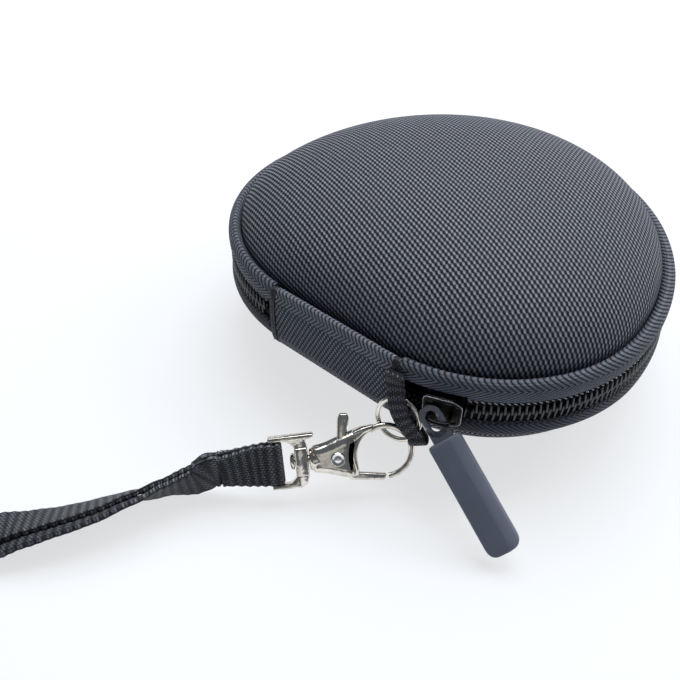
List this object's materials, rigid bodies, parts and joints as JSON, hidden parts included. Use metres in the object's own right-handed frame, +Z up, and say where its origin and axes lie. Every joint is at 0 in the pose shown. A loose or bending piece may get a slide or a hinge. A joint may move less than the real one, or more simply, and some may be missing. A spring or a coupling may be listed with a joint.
{
  "type": "mouse case",
  "caption": "Zip-up moulded hard case for a computer mouse, with a cloth hinge, a rubber pull and a webbing wrist strap on a swivel trigger hook.",
  "frame": {"origin": "middle of the base's rest face, on the surface that the case lies on", "axes": "+Z up; X along the cloth hinge; the hinge side faces -Y and the front of the case +Y"},
  "size_m": [0.1611, 0.2392, 0.0466],
  "materials": {
    "weave": "coarse basket weave over moulded foam",
    "lining": "smooth knit",
    "binding": "woven tape",
    "tape": "woven zip tape",
    "coil": "satin",
    "oxford": "fine plain weave",
    "webbing": "ribbed webbing",
    "black_enamel": "gloss",
    "gunmetal": "satin",
    "rubber_grip": "matte",
    "nickel": "bright nickel plate"
  },
  "bodies": {
    "case_base": {"bottom_shell": "weave", "bottom_lining": "lining", "bottom_binding": "binding", "bottom_zip_tape": "tape", "bottom_zip_teeth": "coil", "hinge_cloth": "oxford", "hinge_strips": "binding", "ring_webbing": "webbing"},
    "case_lid": {"top_shell": "weave", "top_lining": "lining", "top_binding": "binding", "top_zip_tape": "tape", "top_zip_teeth": "coil"},
    "zip_slider": {"slider_body": "black_enamel", "slider_crown": "black_enamel"},
    "zip_pull": {"pull_link": "gunmetal", "pull_grip": "rubber_grip"},
    "ring": {"loop_ring": "nickel"},
    "hook": {"hook_body": "nickel", "lever_rivet": "nickel", "lever_spring": "nickel", "swivel_post": "nickel"},
    "trigger": {"hook_lever": "nickel"},
    "bail": {"strap_bail": "nickel"},
    "strap": {"strap_fold": "webbing", "wrist_strap": "webbing"}
  },
  "joints": [
    {"name": "lid_hinge", "type": "hinge", "parent": "case_base", "child": "case_lid", "pos_m": [0, -0.05365, 0.0225], "axis": [1, 0, 0], "range_deg": [0, 110], "deforming": ["hinge_cloth", "hinge_strips", "ring_webbing"]},
    {"name": "zip_travel", "type": "hinge", "parent": "case_base", "child": "zip_slider", "pos_m": [0.016, -0.00975, 0.0225], "axis": [0, 0, 1], "range_deg": [0, 62], "deforming": ["top_zip_teeth", "bottom_zip_teeth"]},
    {"name": "pull_swing", "type": "hinge", "parent": "zip_slider", "child": "zip_pull", "pos_m": [0.0315, -0.05394, 0.0225], "axis": [-0.373, 0.9278, 0], "range_deg": [0, 25]},
    {"name": "ring_swing", "type": "hinge", "parent": "case_base", "child": "ring", "pos_m": [0.03014, -0.05579, 0.01496], "axis": [0.8359, 0.3397, 0.4312], "range_deg": [0, 12], "deforming": ["ring_webbing"]},
    {"name": "hook_swing", "type": "hinge", "parent": "ring", "child": "hook", "pos_m": [0.02477, -0.05769, 0.013], "axis": [0.9535, 0.261, 0.1506], "range_deg": [0, 10]},
    {"name": "trigger_press", "type": "hinge", "parent": "hook", "child": "trigger", "pos_m": [0.01688, -0.06837, 0.00982], "axis": [0.5879, -0.606, 0.5359], "range_deg": [0, 20], "stiffness_Nm_per_rad": 0.01, "springref_deg": -17.19, "deforming": ["lever_spring"]},
    {"name": "bail_swivel", "type": "hinge", "parent": "hook", "child": "bail", "pos_m": [0.02444, -0.06041, 0.01053], "axis": [-0.6869, -0.7239, -0.065], "continuous": true},
    {"name": "strap_swing", "type": "hinge", "parent": "bail", "child": "strap", "pos_m": [0.00672, -0.07909, 0.00885], "axis": [0.4273, -0.3299, -0.8418], "range_deg": [-60, 60]}
  ]
}
